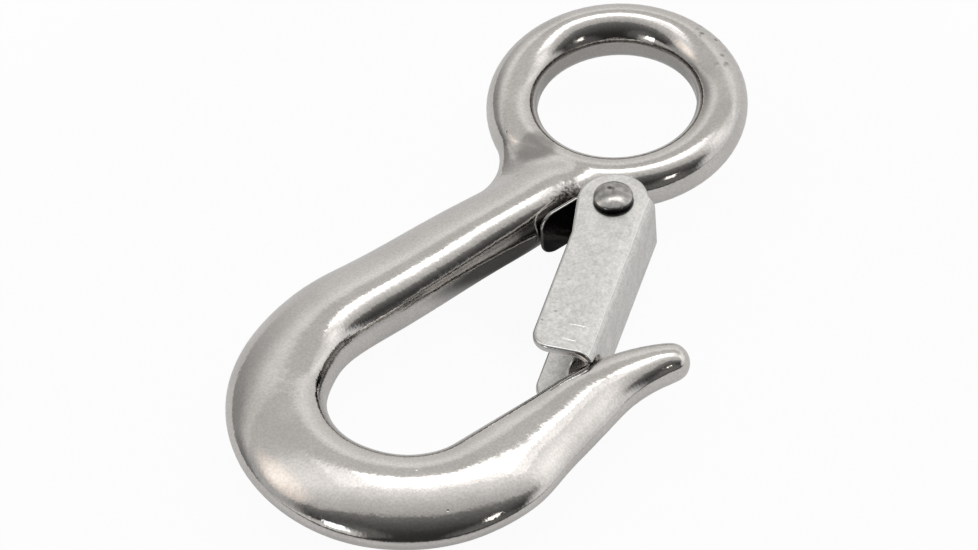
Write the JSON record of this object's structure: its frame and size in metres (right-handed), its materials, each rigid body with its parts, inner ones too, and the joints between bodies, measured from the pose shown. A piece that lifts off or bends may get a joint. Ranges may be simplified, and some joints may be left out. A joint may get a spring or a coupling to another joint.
{
  "type": "eye hook",
  "caption": "Polished eye hook for lifting or hanging: round eye, leaning shank, deep bowl and flared tip, closed by a riveted sheet latch that a leaf spring pushes shut.",
  "frame": {"origin": "centre of the eye, in the hook's mid-plane", "axes": "+Z square to the hook's plane along the eye's axis, +Y along the load line from the bowl to the eye, +X towards the throat and the latch"},
  "size_m": [0.0652, 0.1208, 0.0176],
  "materials": {
    "polished_steel": "polished cast stainless steel with small pits",
    "sheet_steel": "satin sheet with fine scratches",
    "rivet_steel": "satin, peened head",
    "spring_steel": "bright rolled strip"
  },
  "bodies": {
    "hook": {"hook_body": "polished_steel", "rivet": "rivet_steel", "leaf_spring": "spring_steel"},
    "latch": {"latch": "sheet_steel"}
  },
  "joints": [
    {"name": "latch_hinge", "type": "hinge", "parent": "hook", "child": "latch", "pos_m": [0.0117, -0.0237, 0], "axis": [0, 0, 1], "range_deg": [-45, 0], "stiffness_Nm_per_rad": 0.1, "springref_deg": 34.38, "deforming": ["leaf_spring"]}
  ]
}
